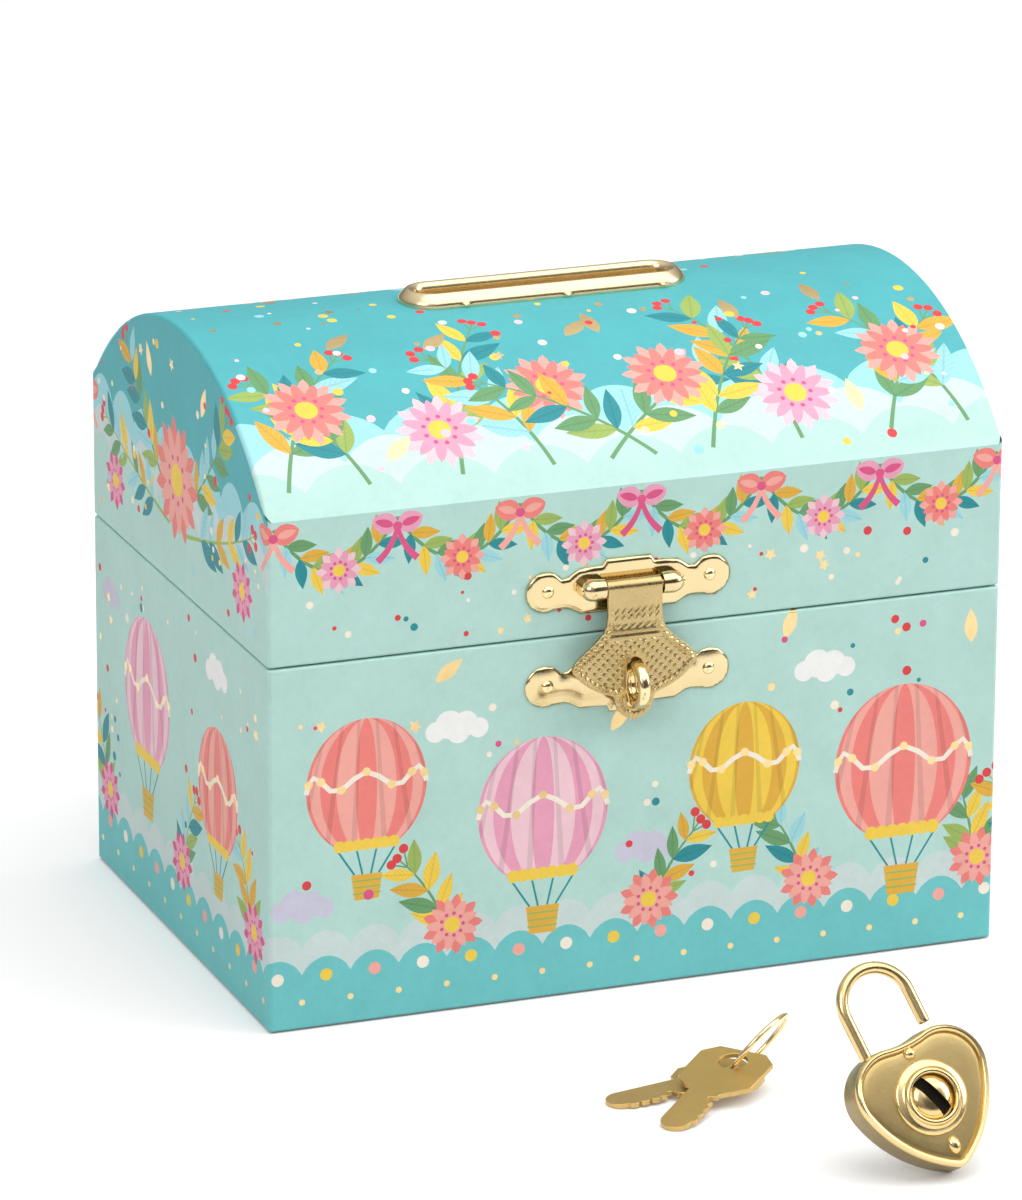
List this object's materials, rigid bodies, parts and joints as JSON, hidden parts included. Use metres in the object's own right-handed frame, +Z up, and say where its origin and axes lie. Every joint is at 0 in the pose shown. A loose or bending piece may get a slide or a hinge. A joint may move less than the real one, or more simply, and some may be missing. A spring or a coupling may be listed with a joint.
{
  "type": "domed money box",
  "caption": "Domed treasure-chest money box of paper-covered board with a coin slot, hasp and staple and rear hinges, with a heart padlock and keys on a ring standing in front.",
  "frame": {"origin": "middle of the box's underside, on the surface that it stands on", "axes": "+X to the right along the front, +Y to the back, +Z up; the hasp faces -Y"},
  "size_m": [0.13, 0.1915, 0.1112],
  "materials": {
    "printed_paper": "satin printed paper with foil accents",
    "lining_paper": "matte lining paper",
    "grey_board": "raw grey board",
    "plated_brass": "polished yellow plating",
    "padlock_brass": "polished, with a satin face",
    "key_brass": "satin stamped brass",
    "spring_steel": "plain steel"
  },
  "bodies": {
    "box": {"base_paper": "lining_paper", "base_board": "grey_board", "front_board": "grey_board", "back_board": "grey_board", "left_end_board": "grey_board", "right_end_board": "grey_board", "box_wrap": "printed_paper", "box_lining": "lining_paper", "staple_plate": "plated_brass", "staple": "plated_brass", "staple_plate_nails": "plated_brass", "hinge_box_leaf_left": "plated_brass", "hinge_box_leaf_right": "plated_brass", "hinge_pin_left": "plated_brass", "hinge_pin_right": "plated_brass", "hinge_box_brads": "plated_brass"},
    "lid": {"lid_front_board": "grey_board", "lid_back_board": "grey_board", "lid_left_gable": "grey_board", "lid_right_gable": "grey_board", "lid_dome_board": "grey_board", "lid_wrap": "printed_paper", "lid_lining": "lining_paper", "coin_slot_bezel": "plated_brass", "hasp_plate": "plated_brass", "hasp_pin": "plated_brass", "hasp_plate_nails": "plated_brass", "hinge_lid_leaf_left": "plated_brass", "hinge_lid_leaf_right": "plated_brass", "hinge_lid_brads": "plated_brass"},
    "hasp_flap": {"hasp_flap": "plated_brass"},
    "padlock": {"padlock_case": "padlock_brass", "padlock_face": "padlock_brass", "padlock_collar": "padlock_brass", "padlock_rivets": "padlock_brass", "shackle_spring": "spring_steel"},
    "shackle": {"padlock_shackle": "padlock_brass"},
    "plug": {"padlock_plug": "padlock_brass"},
    "latch": {"padlock_latch": "spring_steel"},
    "key_ring": {"key_ring": "key_brass"},
    "key_front": {"key_front": "key_brass"},
    "key_rear": {"key_rear": "key_brass"}
  },
  "joints": [
    {"name": "lid_hinge", "type": "hinge", "parent": "box", "child": "lid", "pos_m": [0, 0.0469, 0.06315], "axis": [-1, 0, 0], "range_deg": [0, 110]},
    {"name": "flap_swing", "type": "hinge", "parent": "lid", "child": "hasp_flap", "pos_m": [-0.0023, -0.0475, 0.0712], "axis": [-1, 0, 0], "range_deg": [0, 150]},
    {"name": "padlock_lift", "type": "slide", "parent": "box", "child": "padlock", "axis": [0, 0, 1], "range_m": [0, 0.12]},
    {"name": "shackle_slide", "type": "slide", "parent": "padlock", "child": "shackle", "axis": [-0.289, 0.4873, 0.824], "range_m": [-0.006, 0], "stiffness_N_per_m": 200, "deforming": ["shackle_spring"]},
    {"name": "plug_turn", "type": "hinge", "parent": "padlock", "child": "plug", "pos_m": [0.0125, -0.1349, 0.01125], "axis": [0, 0.8607, -0.509], "range_deg": [0, 90]},
    {"name": "latch_slide", "type": "slide", "parent": "padlock", "child": "latch", "axis": [0.9573, 0.1471, 0.2488], "range_m": [0, 0.00226]},
    {"name": "keys_lift", "type": "slide", "parent": "box", "child": "key_ring", "axis": [0, 0, 1], "range_m": [0, 0.1]},
    {"name": "key_front_swing", "type": "hinge", "parent": "key_ring", "child": "key_front", "pos_m": [-0.0024, -0.0931, 0.0037], "axis": [-0.1267, -0.1082, 0.986], "range_deg": [-6, 6]},
    {"name": "key_rear_swing", "type": "hinge", "parent": "key_ring", "child": "key_rear", "pos_m": [-0.0024, -0.0931, 0.0016], "axis": [-0.072, -0.0029, 0.9974], "range_deg": [-6, 6]}
  ],
  "couplings": [
    {"joint": "plug_turn", "follows": "latch_slide", "rad_per_m": 694.2}
  ]
}
